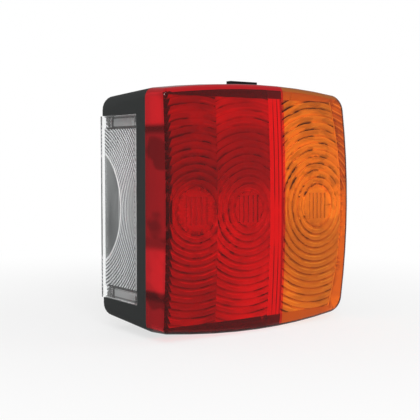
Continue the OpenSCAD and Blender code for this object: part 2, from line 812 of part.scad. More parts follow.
// Brass spring: an arm under the solder tip, a foot riveted to the carrier and a pad for the wire
module contact(light) {
    tip_y = arm_y(light[1]);
    leg_y = tip_y - contact_t - leg_h;
    color([0.8, 0.65, 0.3]) placed() difference() {
        translate([light[0], 0, carrier_front]) mirror([light[2] < 0 ? 1 : 0, 0, 0]) {
            translate([-arm_w / 2, tip_y - contact_t, 0])
                cube([arm_w, contact_t, bulb_z - carrier_front + arm_w / 2]);
            translate([-small_rivet_x - small_head_d / 2 - gap, leg_y, 0])
                cube([small_rivet_x + small_head_d / 2 + gap + pad_x + pad_w / 2, leg_h + contact_t, contact_t]);
            translate([pad_x - pad_w / 2, leg_y, 0]) cube([pad_w, tip_y + pad_rise - leg_y, contact_t]);
        }
        contact_rivet_places() cylinder(d = small_rivet_d + 2 * hole_gap, h = drill_l, center = true);
        pad_places() cylinder(d = terminal_d + 2 * hole_gap, h = drill_l, center = true);
    }
}

// Turns a bulb upright at its place, with the filament at the origin of its frame
module bulb_place(x) {
    placed() translate([x, light_y, bulb_z]) rotate([-90, 0, 0]) children();
}

// Blown glass: a ball over a tapered neck, cemented into the cap and open at its foot
module bulb_glass(x, d, light_l, rise) {
    neck_r = cap_d / 2 - cap_wall - gap;
    foot = -light_l - cap_foot + 2 * cap_wall;
    rim = -light_l + cap_rise;
    inner_ball = arc([0, rise], d / 2 - glass_wall, 90, -neck_angle, ball_steps);
    color([0.9, 0.95, 1, 0.4]) bulb_place(x) rotate_extrude() polygon(concat(
        [[neck_r, foot], [neck_r, rim]],
        arc([0, rise], d / 2, -neck_angle, 90, ball_steps),
        [[0, rise + d / 2]],
        inner_ball,
        [[neck_r - glass_wall, rim], [neck_r - glass_wall, foot]]
    ));
}

// Cap with two bayonet pins and the solder tip
module bulb_cap(x, light_l) {
    color([0.8, 0.78, 0.7]) bulb_place(x) translate([0, 0, -light_l]) {
        difference() {
            translate([0, 0, -cap_foot]) cylinder(d = cap_d, h = cap_foot + cap_rise);
            translate([0, 0, -cap_foot + 2 * cap_wall]) cylinder(d = cap_d - 2 * cap_wall, h = far);
        }
        difference() {
            rotate([0, 90, 0]) cylinder(d = pin_d, h = pin_span, center = true);
            cylinder(d = cap_d - 2 * cap_wall, h = 2 * pin_d, center = true);
        }
        translate([0, 0, -cap_foot - tip_h]) cylinder(d1 = cap_d / 3, d2 = cap_d / 2, h = tip_h + lap);
    }
}

// Stem, two support wires and the coil
module bulb_filament(x, light_l) {
    foot = -light_l - cap_foot + 2 * cap_wall;
    stem_h = light_l * stem_share;
    color([0.75, 0.75, 0.78]) bulb_place(x) {
        translate([0, 0, foot]) cylinder(d = cap_d / 3, h = stem_h);
        for (s = [-1, 1]) translate([s * lead_span / 2, 0, foot + stem_h - lap])
            cylinder(d = wire_d, h = -foot - stem_h + lap);
        rotate([0, 90, 0]) cylinder(d = coil_d, h = coil_l, center = true);
    }
}

// Strip behind the carrier that joins the three holders and the earth terminal
module earth_strip() {
    tail_y = light_y - tail_light_l - holder_foot + foot_h / 2;
    left = tail_x - (rivet_span + earth_w) / 2;
    riser = tail_x + (rivet_span - earth_w) / 2;
    color([0.75, 0.75, 0.72]) placed() translate([0, 0, carrier_z - earth_t]) difference() {
        union() {
            translate([riser, earth_y - earth_w / 2, 0]) cube([earth_x + earth_w / 2 - riser, earth_w, earth_t]);
            translate([riser, earth_y, 0]) cube([earth_w, tail_y - earth_y, earth_t]);
            translate([left, tail_y - earth_w / 2, 0]) cube([rivet_span + earth_w, earth_w, earth_t]);
        }
        holder_rivet_places() cylinder(d = rivet_d + 2 * hole_gap, h = drill_l, center = true);
        earth_terminal_place() cylinder(d = terminal_d + 2 * hole_gap, h = drill_l, center = true);
    }
}

// A rivet through sheets that reach from a front height to a back height, both counted from the carrier's front
module rivet(d, head_d, head_h, front, back) {
    translate([0, 0, back]) cylinder(d = d, h = front - back);
    translate([0, 0, front]) cylinder(d1 = head_d, d2 = head_d * rivet_top, h = head_h);
    translate([0, 0, back - head_h]) cylinder(d = head_d, h = head_h);
}

module holder_rivets() {
    color([0.6, 0.6, 0.6]) placed() holder_rivet_places()
        rivet(rivet_d, rivet_head_d, rivet_head_h, holder_t, -carrier_t - earth_t);
}

module contact_rivets() {
    color([0.7, 0.6, 0.35]) placed() contact_rivet_places()
        rivet(small_rivet_d, small_head_d, small_head_h, contact_t, -carrier_t);
}

// Pan head screw with a cross slot, its head standing on the plane z = 0
module screw(d, l) {
    difference() {
        union() {
            translate([0, 0, -l]) cylinder(d = d, h = l + lap);
            cylinder(d1 = screw_head_d, d2 = screw_head_d * screw_top, h = screw_head_h);
        }
        for (turn = [0, 90]) rotate([0, 0, turn])
            translate([0, 0, screw_head_h])
                cube([screw_head_d * slot_l_share, screw_head_h * slot_w_share, screw_head_h], center = true);
    }
}

module terminal_screws() {
    color([0.75, 0.7, 0.5]) placed() {
        pad_places() translate([0, 0, contact_t]) screw(terminal_d, terminal_l);
        earth_terminal_place() screw(terminal_d, terminal_l);
    }
}

module carrier_screws() {
    color([0.7, 0.7, 0.72]) placed() for (s = [-1, 1]) translate([s * post_x, s * post_y, carrier_front])
        screw(carrier_screw_d - 2 * hole_gap, carrier_screw_l);
}

module mounting_bolts() {
    color([0.7, 0.7, 0.72]) placed() for (x = [-bolt_span / 2, bolt_span / 2]) translate([x, 0, back_t]) {
        translate([0, 0, -bolt_l]) cylinder(d = bolt_d, h = bolt_l + lap);
        translate([0, 0, -back_t]) cylinder(d = bolt_neck_d, h = back_t + lap);
        cylinder(d = bolt_head_w / cos(30), h = bolt_head_h, $fn = 6);
    }
}

// Rubber grommet: flange inside the back, neck in its hole, flange and nose behind it
module cable_grommet() {
    color([0.12, 0.12, 0.12]) placed() translate([0, inlet_y, 0]) rotate_extrude() polygon([
        [inlet_bore_d / 2, back_t + inlet_flange_t],
        [inlet_flange_d / 2, back_t + inlet_flange_t],
        [inlet_flange_d / 2, back_t],
        [inlet_neck_d / 2, back_t],
        [inlet_neck_d / 2, 0],
        [inlet_back_d / 2, 0],
        [inlet_back_d / 2, -inlet_flange_t],
        [inlet_bore_d / 2 + inlet_nose_wall, -inlet_nose_l],
        [inlet_bore_d / 2, -inlet_nose_l]
    ]);
}

housing();
lens_red();
lens_amber();
lens_seal();
plate_window();
bulb_carrier();
holder(tail_x, tail_light_l);  // tail_holder
holder(stop_x, stop_light_l);  // stop_holder
holder(indicator_x, stop_light_l);  // indicator_holder
contact(LIGHTS[0]);  // tail_contact
contact(LIGHTS[1]);  // stop_contact
contact(LIGHTS[2]);  // indicator_contact
bulb_glass(tail_x, tail_glass_d, tail_light_l, tail_ball_rise);  // tail_bulb_glass
bulb_cap(tail_x, tail_light_l);  // tail_bulb_cap
bulb_filament(tail_x, tail_light_l);  // tail_bulb_filament
bulb_glass(stop_x, stop_glass_d, stop_light_l, stop_ball_rise);  // stop_bulb_glass
bulb_cap(stop_x, stop_light_l);  // stop_bulb_cap
bulb_filament(stop_x, stop_light_l);  // stop_bulb_filament
bulb_glass(indicator_x, stop_glass_d, stop_light_l, stop_ball_rise);  // indicator_bulb_glass
bulb_cap(indicator_x, stop_light_l);  // indicator_bulb_cap
bulb_filament(indicator_x, stop_light_l);  // indicator_bulb_filament
earth_strip();
holder_rivets();
contact_rivets();
terminal_screws();
carrier_screws();
mounting_bolts();
cable_grommet();
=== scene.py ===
# %% [markdown]
# This script dresses a trailer's rear lamp: a black case, a red and amber lens with moulded prism rings,
# and a clear window for the number plate light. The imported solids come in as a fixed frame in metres. The
# back face of the case lies in the plane y = 0, the lens looks towards -Y and +Z is up.
#
# Each cell makes one piece or one finish, and the text before it says what it is on the real lamp.

# %% Load the frame
import json
import math

import bpy
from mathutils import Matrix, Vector


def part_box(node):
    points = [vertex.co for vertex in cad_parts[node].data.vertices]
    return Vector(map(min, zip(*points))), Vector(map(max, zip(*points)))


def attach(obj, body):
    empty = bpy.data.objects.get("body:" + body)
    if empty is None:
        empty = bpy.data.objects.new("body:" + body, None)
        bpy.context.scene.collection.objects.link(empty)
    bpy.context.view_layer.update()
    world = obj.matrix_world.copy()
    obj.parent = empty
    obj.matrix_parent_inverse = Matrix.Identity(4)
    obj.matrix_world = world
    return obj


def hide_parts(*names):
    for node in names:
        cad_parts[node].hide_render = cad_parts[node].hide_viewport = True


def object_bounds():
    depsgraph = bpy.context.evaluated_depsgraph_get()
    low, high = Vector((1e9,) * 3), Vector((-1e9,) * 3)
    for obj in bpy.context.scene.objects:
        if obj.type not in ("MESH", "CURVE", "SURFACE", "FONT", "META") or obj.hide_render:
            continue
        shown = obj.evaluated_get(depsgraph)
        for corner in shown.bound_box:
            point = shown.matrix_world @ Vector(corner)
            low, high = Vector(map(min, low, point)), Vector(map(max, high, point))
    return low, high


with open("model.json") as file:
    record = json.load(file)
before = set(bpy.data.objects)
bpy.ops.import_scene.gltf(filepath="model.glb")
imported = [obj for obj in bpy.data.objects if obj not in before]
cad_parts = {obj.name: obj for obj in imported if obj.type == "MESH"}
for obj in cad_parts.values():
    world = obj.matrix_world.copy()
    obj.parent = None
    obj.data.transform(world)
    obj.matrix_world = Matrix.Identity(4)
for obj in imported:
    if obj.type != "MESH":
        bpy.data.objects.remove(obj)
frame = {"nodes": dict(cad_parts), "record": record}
CAD_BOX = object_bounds()
nodes = frame["nodes"]
slot_of = {part["node"]: part["material_slot"] for part in frame["record"]["subparts"]}
MM = 0.001
near = 0.1 * MM
print("packed nodes:", len(nodes))
print("packed box in mm:", [[round(c / MM, 1) for c in corner] for corner in CAD_BOX])

# %% [markdown]
# The camera stands where the photographer stood. Its place was fitted to the lamp's outline and to the
# edges of its window: it looks at the lamp from the left and from just above the middle, so both the window
# side and the front show. A long lens keeps the perspective of a small object seen from 40 cm.

# %% Camera
camera_data = bpy.data.cameras.new("camera")
camera_data.sensor_width = 36
camera_data.lens = 79
camera_data.clip_start = 0.01
camera_data.clip_end = 20
camera = bpy.data.objects.new("camera", camera_data)
bpy.context.scene.collection.objects.link(camera)
bpy.context.scene.camera = camera
azimuth = math.radians(-37.385)
elevation = math.radians(3.351)
camera_distance = 405.1 * MM
looked_at = Vector((-7.459, -19.440, -1.893)) * MM
towards_camera = Vector((
    math.sin(azimuth) * math.cos(elevation),
    -math.cos(azimuth) * math.cos(elevation),
    math.sin(elevation),
))
camera.location = looked_at + towards_camera * camera_distance
camera.rotation_mode = "QUATERNION"
camera.rotation_quaternion = (-towards_camera).to_track_quat("-Z", "Y")
print("camera at", [round(c, 3) for c in camera.location])

# %% [markdown]
# A finish is a material whose nodes are easier to read as sums than as a web of links. This class wraps one
# output of a node: adding, multiplying or comparing it adds the Math node that does so. A number that never
# changes over the surface is worked out in Python instead and set on the shader's own socket.


# %% A value that changes over a surface
class Value:
    """One output of a node. Sums with it add Math nodes."""

    def __init__(self, finish, socket):
        self.finish = finish
        self.socket = socket

    def math(self, operation, *terms):
        return self.finish.node("ShaderNodeMath", {"operation": operation}, dict(enumerate(terms)))

    def __add__(self, other):
        return self.math("ADD", self, other)

    def __sub__(self, other):
        return self.math("SUBTRACT", self, other)

    def __rsub__(self, other):
        return self.math("SUBTRACT", other, self)

    def __mul__(self, other):
        return self.math("MULTIPLY", self, other)

    def __truediv__(self, other):
        return self.math("DIVIDE", self, other)

    def __pow__(self, other):
        return self.math("POWER", self, other)

    def __mod__(self, other):
        return self.math("FLOORED_MODULO", self, other)

    def __abs__(self):
        return self.math("ABSOLUTE", self)

    __radd__ = __add__
    __rmul__ = __mul__

    def rising(self, low, high):
        """Goes smoothly from 0 to 1 while the value goes from low to high."""
        return self.finish.node(
            "ShaderNodeMapRange", {"interpolation_type": "SMOOTHSTEP"},
            {"Value": self, "From Min": low, "From Max": high},
        )

    def other(self, output):
        """Another output of the same node."""
        return Value(self.finish, self.socket.node.outputs[output])


# %% [markdown]
# The second class is the material itself. It starts from the Principled shader, sets its even sockets from
# Python, and has one method that adds any other node. Patterns read Object coordinates, which are metres on
# the lamp, so a grain has its real size and stays where it is when the lamp is seen from elsewhere.


# %% A finish
class Finish:
    """One material: its Principled shader and what feeds it."""

    def __init__(self, name, color, **even):
        self.material = bpy.data.materials.new(name)
        self.material.use_nodes = True
        self.tree = self.material.node_tree
        self.shader = self.tree.nodes["Principled BSDF"]
        self.shader.inputs["Base Color"].default_value = (*color, 1)
        for socket, value in even.items():
            self.shader.inputs[socket.replace("_", " ")].default_value = value

    def node(self, kind, settings=None, sockets=None, output=0):
        """Adds a node, its settings first, and gives one of its outputs."""
        new = self.tree.nodes.new(kind)
        for name, value in (settings or {}).items():
            setattr(new, name, value)
        for name, value in (sockets or {}).items():
            self.feed(new.inputs[name], value)
        return Value(self, new.outputs[output])

    def feed(self, socket, value):
        if isinstance(value, Value):
            self.tree.links.new(value.socket, socket)
        else:
            socket.default_value = value

    def shade(self, **sockets):
        """Feeds sockets of the Principled shader by name."""
        for name, value in sockets.items():
            self.feed(self.shader.inputs[name.replace("_", " ")], value)

    def place(self):
        return self.node("ShaderNodeTexCoord", output="Object")

    def noise(self, scale, detail=2.0, stretch=None):
        at = self.place()
        if stretch:
            at = self.node("ShaderNodeMapping", {}, {"Vector": at, "Scale": stretch})
        return self.node("ShaderNodeTexNoise", {}, {"Vector": at, "Scale": scale, "Detail": detail})

    def blend(self, factor, first, second):
        """Mixes two colours."""
        sockets = {"Factor": factor, 6: (*first, 1), 7: (*second, 1)}
        return self.mixed(sockets)

    def mixed(self, sockets):
        return self.node("ShaderNodeMix", {"data_type": "RGBA"}, sockets, output=2)

    def bump(self, height, depth):
        bumped = self.node("ShaderNodeBump", {}, {"Height": height, "Distance": depth})
        self.shade(Normal=bumped)


# %% [markdown]
# The studio is plain: an even grey world gives the light from all round. The camera and the rays through
# clear plastic see white instead, so the ground is white at no cost of extra light. Mirror-like rays see a
# dim room with white only straight behind the lamp, because white all round would lay a haze over the dyed
# plastic.

# %% World
backdrop_edge = 0.93
backdrop_full = 0.985
world = bpy.data.worlds.new("studio")
bpy.context.scene.world = world
world.use_nodes = True
tree = world.node_tree
even_light = tree.nodes["Background"]
even_light.inputs["Color"].default_value = (0.5, 0.5, 0.5, 1)
white = tree.nodes.new("ShaderNodeBackground")
white.inputs["Color"].default_value = (1, 1, 1, 1)
room = tree.nodes.new("ShaderNodeBackground")
room.inputs["Color"].default_value = (0.28, 0.28, 0.28, 1)
direction = tree.nodes.new("ShaderNodeTexCoord")
across = tree.nodes.new("ShaderNodeSeparateXYZ")
tree.links.new(direction.outputs["Generated"], across.inputs[0])
behind = tree.nodes.new("ShaderNodeMapRange")
behind.interpolation_type = "SMOOTHSTEP"
behind.inputs["From Min"].default_value = backdrop_edge
behind.inputs["From Max"].default_value = backdrop_full
tree.links.new(across.outputs["Y"], behind.inputs["Value"])
mirrored = tree.nodes.new("ShaderNodeMixShader")
tree.links.new(behind.outputs[0], mirrored.inputs[0])
tree.links.new(room.outputs[0], mirrored.inputs[1])
tree.links.new(white.outputs[0], mirrored.inputs[2])
path = tree.nodes.new("ShaderNodeLightPath")
last = even_light.outputs[0]
for ray, seen in (
    ("Is Glossy Ray", mirrored), ("Is Transmission Ray", white), ("Is Camera Ray", white),
):
    choice = tree.nodes.new("ShaderNodeMixShader")
    tree.links.new(path.outputs[ray], choice.inputs[0])
    tree.links.new(last, choice.inputs[1])
    tree.links.new(seen.outputs[0], choice.inputs[2])
    last = choice.outputs[0]
tree.links.new(last, tree.nodes["World Output"].inputs["Surface"])
bpy.context.scene.view_settings.view_transform = "Standard"
print("world nodes:", len(tree.nodes))

# %% [markdown]
# One large soft box above the camera gives the main light. A weaker one on the right lifts the shadow of
# the amber side. Gloss doesn't see that one, because it would lie as a pale patch on the top edge of the
# case.


# %% Soft boxes
def soft_box(name, at, size, power):
    """A square area lamp that looks at the object."""
    data = bpy.data.lights.new(name, "AREA")
    data.size = size
    data.energy = power
    lamp = bpy.data.objects.new(name, data)
    bpy.context.scene.collection.objects.link(lamp)
    lamp.location = at
    lamp.rotation_mode = "QUATERNION"
    lamp.rotation_quaternion = (-Vector(at)).to_track_quat("-Z", "Y")
    return lamp


soft_box("key_light", (-0.5, -0.9, 0.7), 0.6, 9)
fill_light = soft_box("fill_light", (0.8, -0.6, 0.5), 0.5, 1.3)
fill_light.visible_glossy = False

# %% [markdown]
# The floor is white paper under the lamp's lowest point. It catches the lamp's shadow, glows a little for
# the camera so that it meets the white ground, and turns clear towards its edge. Gloss doesn't see it at
# all.

# %% Floor
floor_r = 0.45
fade_start = 0.3
fade_end = 0.44
bpy.ops.object.select_all(action="DESELECT")
bpy.ops.mesh.primitive_circle_add(
    vertices=96, radius=floor_r, fill_type="NGON", location=(0, 0, CAD_BOX[0][2]),
)
floor = bpy.context.active_object
floor.name = "floor"
paper = Finish("paper", (0.85, 0.85, 0.85), Roughness=0.9)
rays = paper.node("ShaderNodeLightPath")
looked = rays.math("MAXIMUM", rays, rays.other("Is Transmission Ray"))
away = paper.node("ShaderNodeVectorMath", {"operation": "LENGTH"}, {0: paper.place()}, output="Value")
glow = paper.node("ShaderNodeEmission", {}, {"Color": (1, 1, 1, 1)})
glowing = looked * (0.7 + 0.3 * away.rising(0.05, fade_start))
lit = paper.node(
    "ShaderNodeMixShader", {}, {0: glowing, 1: Value(paper, paper.shader.outputs[0]), 2: glow},
)
gone = paper.node("ShaderNodeBsdfTransparent")
unseen = rays.math("MAXIMUM", rays.other("Is Glossy Ray"), away.rising(fade_start, fade_end))
faded = paper.node("ShaderNodeMixShader", {}, {0: unseen, 1: lit, 2: gone})
paper.feed(paper.tree.nodes["Material Output"].inputs["Surface"], faded)
floor.data.materials.append(paper.material)
print("floor at", round(CAD_BOX[0][2] / MM, 1), "mm")

# %% [markdown]
# The case, the carrier and the rubber pieces are moulded. Real moulded plastic is never one flat tone: it
# has a fine spark-eroded grain, slow cloudy changes of gloss from the flow of the melt, and edges that
# handling has polished. The grain is a bump from fine noise, the clouds go into colour and roughness, and
# the polish lies where a rounded edge would turn the surface away from its flat direction. The latch on top
# of the case is darker than the rest.


# %% Moulded plastic and rubber
def tone(color, share):
    return tuple(share * c for c in color)


def moulded(name, color, roughness, grain=0.03, gloss=0.5, dark_above=None):
    finish = Finish(name, color, Specular_IOR_Level=gloss)
    clouds = finish.noise(35.0)
    specks = finish.noise(2600.0)
    bevelled = finish.node("ShaderNodeBevel", {"samples": 4}, {"Radius": 0.3 * MM})
    flat = finish.node("ShaderNodeNewGeometry", output="Normal")
    turned_by = finish.node(
        "ShaderNodeVectorMath", {"operation": "DISTANCE"}, {0: bevelled, 1: flat}, output="Value",
    )
    worn = turned_by.rising(0.1, 0.5)
    dusty = worn * finish.noise(220.0).rising(0.35, 0.6)
    cloudy = finish.blend(clouds, tone(color, 0.92), tone(color, 1.08))
    if dark_above:
        height = finish.node("ShaderNodeSeparateXYZ", {}, {0: finish.place()}, output="Z")
        over = height.rising(dark_above, dark_above + near)
        cloudy = finish.mixed({"Factor": over, 6: cloudy, 7: (*tone(color, 0.3), 1)})
    finish.shade(
        Base_Color=finish.mixed({"Factor": dusty * 0.3, 6: cloudy, 7: (0.13, 0.13, 0.13, 1)}),
        Roughness=roughness + (clouds - 0.5) * 0.06 - worn * 0.1,
    )
    finish.bump(specks, grain * MM)
    return finish.material


latch_foot = 52.4 * MM
case_plastic = moulded("case_plastic", (0.022, 0.0255, 0.025), 0.5, gloss=0.25, dark_above=latch_foot)
carrier_plastic = moulded("carrier_plastic", (0.6, 0.6, 0.58), 0.42)
seal_rubber = moulded("seal_rubber", (0.02, 0.02, 0.021), 0.65, grain=0.05, gloss=0.3)
print("moulded:", case_plastic.name, carrier_plastic.name, seal_rubber.name)

# %% [markdown]
# The metal pieces are stamped, drawn and plated. Zinc on sheet and on screws dries in small crystals with a
# faint yellow and blue cast. Brass and nickel keep the lines of the rolls along the strip. A noise
# stretched along X draws those lines, and a second one spots the plating.


# %% Metals
def plated(name, color, cast, roughness, lines=0.25):
    finish = Finish(name, color, Metallic=1.0)
    spots = finish.noise(900.0)
    rolled = finish.noise(300.0, stretch=(0.15, 1.0, 4.0))
    finish.shade(
        Base_Color=finish.blend(spots.rising(0.3, 0.7), color, cast),
        Roughness=roughness + (rolled - 0.5) * lines,
    )
    finish.bump(rolled, 0.01 * MM)
    return finish.material


zinc_sheet = plated("zinc_sheet", (0.55, 0.57, 0.6), (0.63, 0.61, 0.55), 0.38)
brass_strip = plated("brass_strip", (0.75, 0.58, 0.28), (0.66, 0.48, 0.22), 0.3)
nickel_cap = plated("nickel_cap", (0.7, 0.68, 0.62), (0.62, 0.58, 0.5), 0.25)
drawn_wire = plated("drawn_wire", (0.55, 0.55, 0.57), (0.42, 0.42, 0.46), 0.4)
rivet_alloy = plated("rivet_alloy", (0.7, 0.7, 0.7), (0.6, 0.6, 0.61), 0.35)
screw_zinc = plated("screw_zinc", (0.6, 0.6, 0.62), (0.66, 0.62, 0.5), 0.33)
print("metals:", zinc_sheet.name, brass_strip.name, nickel_cap.name, drawn_wire.name)

# %% [markdown]
# The lens and the window are dyed clear plastic. The Principled shader with full transmission bends the
# light as the real one does. Lamps can't shine through bent glass in a path tracer, so for shadow rays the
# material is a plain coloured window instead. What the moulded prisms scatter is an opaque share of the
# same colour.


# %% Clear plastic
def clear(finish, tint):
    """Lets the lamps' light through, coloured by the tint."""
    window = finish.node("ShaderNodeBsdfTransparent", {}, {"Color": (*tint, 1)})
    shadow = finish.node("ShaderNodeLightPath", output="Is Shadow Ray")
    both = finish.node(
        "ShaderNodeMixShader", {},
        {0: shadow, 1: Value(finish, finish.shader.outputs[0]), 2: window},
    )
    finish.feed(finish.tree.nodes["Material Output"].inputs["Surface"], both)


def dyed(name, color, tint, solid, gloss=0.1):
    """Clear plastic of one colour, of which a share is solid."""
    finish = Finish(name, color, IOR=1.49, Transmission_Weight=1 - solid, Specular_IOR_Level=gloss)
    clouds = finish.noise(60.0)
    finish.shade(Roughness=0.02 + clouds * 0.06)
    clear(finish, tint)
    return finish


red = (0.92, 0.018, 0.028)
amber = (1.0, 0.42, 0.07)
red_tint = (0.95, 0.2, 0.2)
amber_tint = (1.0, 0.7, 0.4)
red_skin = dyed("red_skin", red, red_tint, 0.0).material
# Painted light and shade on copies of the lens colours: the amber side wall is painted dark as shade, the top
# flanks carry painted light along the top edge, the rims above and below the fields are painted dark as
# shade, and the bright amber edge is a painted highlight.
amber_wall_painted_shade = dyed("amber_wall_painted_shade", (0.3, 0.075, 0.012), amber_tint, 0.5).material
red_edge_painted_highlight = dyed("red_edge_painted_highlight", tone(red, 0.6), red_tint, 0.7).material
amber_top_painted_light = dyed("amber_top_painted_light", (0.4, 0.12, 0.02), amber_tint, 0.7).material
red_rim_painted_shade = dyed("red_rim_painted_shade", tone(red, 0.12), red_tint, 0.4).material
amber_rim_painted_shade = dyed("amber_rim_painted_shade", (0.62, 0.2, 0.03), amber_tint, 0.7).material
amber_edge_painted_highlight = dyed("amber_edge_painted_highlight", (1.0, 0.6, 0.12), amber_tint, 0.85).material
amber_skin = dyed("amber_skin", amber, amber_tint, 0.0).material
window_skin = dyed("window_skin", (0.95, 0.96, 0.96), (1, 1, 1), 0.0, gloss=0.4).material
bulb_glass = dyed("bulb_glass", (1, 1, 1), (0.95, 0.95, 0.95), 0.0, gloss=0.5).material
joined = Finish("joined", (1, 1, 1), Alpha=0.0).material
print("finishes so far:", len(bpy.data.materials))

# %% [markdown]
# Behind the lens stand three bulbs, and the inner face of the lens has a set of prism rings before each.
# The middle of a set is a plain disc with upright flutes. The rings end at the edge of their field: two red
# fields side by side, then a plain red band, then the amber field with a bowed outer edge.

# %% Places on the lens
half_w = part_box("lens_amber")[1][0]
lamp_d = -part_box("lens_red")[0][1]
joint_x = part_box("lens_red")[1][0]


def middle_x(node):
    low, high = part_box(node)
    return (low[0] + high[0]) / 2


tail_x = middle_x("tail_bulb_glass")
stop_x = middle_x("stop_bulb_glass")
indicator_x = middle_x("indicator_bulb_glass")
disc_r = {tail_x: 9.5 * MM, stop_x: 7.3 * MM, indicator_x: 9.3 * MM}
plain_width = 7.7 * MM
side_wall_t = 2.2 * MM
split_x = tail_x + 10 * MM
plain_x = joint_x - plain_width
wall_x = -half_w + side_wall_t
field_top = 45.5 * MM
field_end = half_w - 6 * MM
bow = 6 * MM
bow_r = field_top ** 2 / (2 * bow) + bow / 2
bow_x = field_end - bow_r
print("lights at", [round(x / MM, 2) for x in disc_r])

# %% [markdown]
# The red side wall is plain, and the light and shade of what lies behind it are painted into its colour:
# lit bays at the top and low down, each ended by a painted shadow of a rib, and soft darker patches between
# them. The plain band beside the amber field has two thin ribs and a darker line at the joint, and above and
# below the fields it is painted dark as shade, like the rim of the rest of the lens.

# %% Side wall and plain band of the red lens
top_bay = (32.9 * MM, 35 * MM)
low_bay_top = (-17 * MM, -13.5 * MM)
low_bay_foot = (-32.5 * MM, -30.5 * MM)
rib_shadows = ((32.4 * MM, 0.38), (-12 * MM, 0.15), (-33.5 * MM, 0.18))
rib_places = (plain_x + 2.6 * MM, plain_x + 5.0 * MM)
side_wall = dyed("red_wall_painted_shading", red, red_tint, 0.6)
up = side_wall.node("ShaderNodeSeparateXYZ", {}, {0: side_wall.place()}, output="Z")
# The lit bays and the rib shadows below are painted light and shade.
top_light = up.rising(*top_bay)
low_light = (1 - up.rising(*low_bay_top)) * up.rising(*low_bay_foot)
patches = side_wall.noise(70.0, stretch=(0.6, 0.6, 1.0)).rising(0.52, 0.6)
shadows = 0
for height, depth in rib_shadows:
    shadows = shadows + (1 - abs(up - height).rising(0.4 * MM, 3 * MM)) * depth
lit_share = (0.47 + (top_light + low_light) * 0.42 - patches * 0.2).rising(0.0, 1.0) - shadows
side_wall.shade(Base_Color=side_wall.blend(lit_share, tone(red, 0.12), tone(red, 0.95)))
red_wall_painted_shading = side_wall.material

plain_band = dyed("red_band", red, red_tint, 0.7)
at_band = plain_band.node("ShaderNodeSeparateXYZ", {}, {0: plain_band.place()})
first_rib, second_rib = (1 - abs(at_band - x).rising(0.15 * MM, 0.4 * MM) for x in rib_places)
at_joint = at_band.rising(joint_x - 1.3 * MM, joint_x - 1.0 * MM) * 0.7
broken = plain_band.noise(50.0, stretch=(1.0, 1.0, 1.0)).rising(0.35, 0.6)
ribbed = plain_band.blend((first_rib + second_rib) * broken + at_joint, tone(red, 0.85), tone(red, 0.22))
# Above and below the fields the band is painted dark as shade.
over_rim = abs(at_band.other("Z")).rising(field_top, field_top + 3 * near)
plain_band.shade(Base_Color=plain_band.mixed({"Factor": over_rim, 6: ribbed, 7: (*tone(red, 0.12), 1)}))
red_band = plain_band.material
print("side wall and band:", red_wall_painted_shading.name, red_band.name)

# %% [markdown]
# These sizes are shared by the finish of the prisms and by their shape: how far apart the rings and the
# flutes stand, how deep a ring is, and the large sphere on which the inner face of the lens lies.

# %% Places on the rings and flutes
ring_pitch = 3 * MM
ring_tip = 1.5 * MM
ring_foot = 0.1 * MM
flute_pitch = 2.5 * MM
flutes_half_w = 5.0 * MM
flutes_half_h = 5.4 * MM
tooth_l = 1.2 * MM
crown_x = -15 * MM
skin_t = 2.4 * MM
inner_r = 560 * MM
inner_centre = Vector((crown_x, inner_r + skin_t - lamp_d, 0))
print("inner sphere:", round(inner_r / MM), "mm round", [round(c / MM, 1) for c in inner_centre])

# %% [markdown]
# Seen from outside, each ring is a bright slope with a dark groove where the next one starts, and each
# groove is broken into strokes by what lies behind it. Real bent light gives most of that. The finish adds
# painted shade: it measures the distance from the light's axis, takes the remainder by the pitch and darkens
# the start of each ring, broken into strokes, and it paints glints on the crests and a bright line round
# each disc. Inside the disc the flutes get painted shade in the same way. The tail light's rings end at the
# side wall, where painted shade draws them as a row of dark saw teeth.


# %% Prism finish
def grooves(finish, x, first):
    """Masks of painted shade in grooves, flutes and strokes, and of painted glints on crests and disc edge.
    """
    across = finish.node("ShaderNodeSeparateXYZ", {}, {0: finish.place()})
    up = across.other("Z")
    side = across - x
    radius = (side * side + up * up) ** 0.5 + (finish.noise(160.0) - 0.5) * (0.9 * MM)
    turn = ((radius - first) / ring_pitch) % 1.0
    ring = 1 - turn.rising(0.0, 0.3)
    crest = 1 - abs(turn - 0.42).rising(0.04, 0.12)
    flute = abs(((side / flute_pitch) % 1.0) - 0.5).rising(0.3, 0.48)
    beside = abs(side).rising(flutes_half_w, flutes_half_w + 0.3 * MM)
    beyond = abs(up).rising(flutes_half_h, flutes_half_h + 0.4 * MM)
    in_flutes = (1 - beside) * (1 - beyond)
    in_rings = radius.rising(first - near, first)
    rim = 1 - abs(radius - (first + 0.3 * MM)).rising(0.2 * MM, 0.5 * MM)
    along = finish.node(
        "ShaderNodeCombineXYZ", {}, {0: radius / ring_pitch, 1: side / radius * 3, 2: up / radius * 3},
    )
    drawn_out = finish.node("ShaderNodeTexNoise", {}, {"Vector": along, "Scale": 1.1, "Detail": 3.0})
    strokes = drawn_out.rising(0.46, 0.6) * in_rings
    return ring * in_rings, flute * in_flutes, (crest * in_rings + rim).rising(0.0, 1.0), strokes


